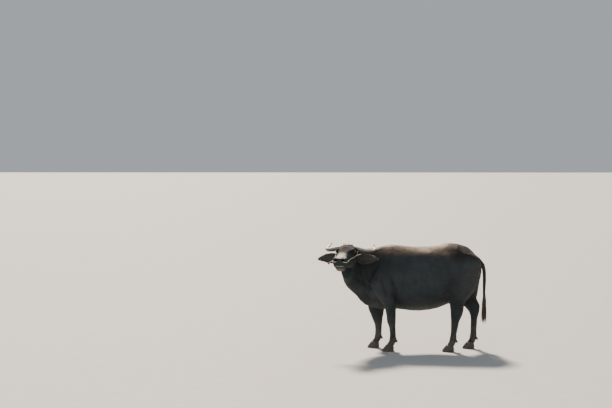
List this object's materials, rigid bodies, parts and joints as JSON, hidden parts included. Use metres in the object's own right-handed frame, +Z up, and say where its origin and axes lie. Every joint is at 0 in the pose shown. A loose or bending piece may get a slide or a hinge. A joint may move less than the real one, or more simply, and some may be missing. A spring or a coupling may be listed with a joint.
{
  "type": "water buffalo",
  "caption": "Life-size still model of a standing water buffalo with swept crescent horns, head turned to its left, wearing a thin nose rope.",
  "frame": {"origin": "middle of the bounding box, on the floor under the animal", "axes": "+Z up; -X ahead of the body, +X towards the tail; -Y to the animal's left, the side the picture shows"},
  "size_m": [2.0466, 1.04, 1.3173],
  "materials": {
    "skin": "dark blue-grey hide with sparse short hair",
    "hair": "coarse blackish hair",
    "horn": "worn grey horn, satin",
    "claw": "dull dark horn",
    "eye": "wet dark brown",
    "rope": "pale twisted fibre",
    "bead": "red, slightly dull"
  },
  "bodies": {
    "root": {"bead": "bead", "claw_foreleg_left_inner": "claw", "claw_foreleg_left_outer": "claw", "claw_foreleg_right_inner": "claw", "claw_foreleg_right_outer": "claw", "claw_hindleg_left_inner": "claw", "claw_hindleg_left_outer": "claw", "claw_hindleg_right_inner": "claw", "claw_hindleg_right_outer": "claw", "dewclaw_foreleg_left_inner": "claw", "dewclaw_foreleg_left_outer": "claw", "dewclaw_foreleg_right_inner": "claw", "dewclaw_foreleg_right_outer": "claw", "dewclaw_hindleg_left_inner": "claw", "dewclaw_hindleg_left_outer": "claw", "dewclaw_hindleg_right_inner": "claw", "dewclaw_hindleg_right_outer": "claw", "ear_left": "skin", "ear_right": "skin", "eye_left": "eye", "eye_right": "eye", "foreleg_left": "skin", "foreleg_right": "skin", "head": "skin", "hindleg_left": "skin", "hindleg_right": "skin", "horn_left": "horn", "horn_right": "horn", "neck": "skin", "nose_rope": "rope", "tail": "skin", "tail_switch": "hair", "torso": "skin"}
  },
  "joints": []
}
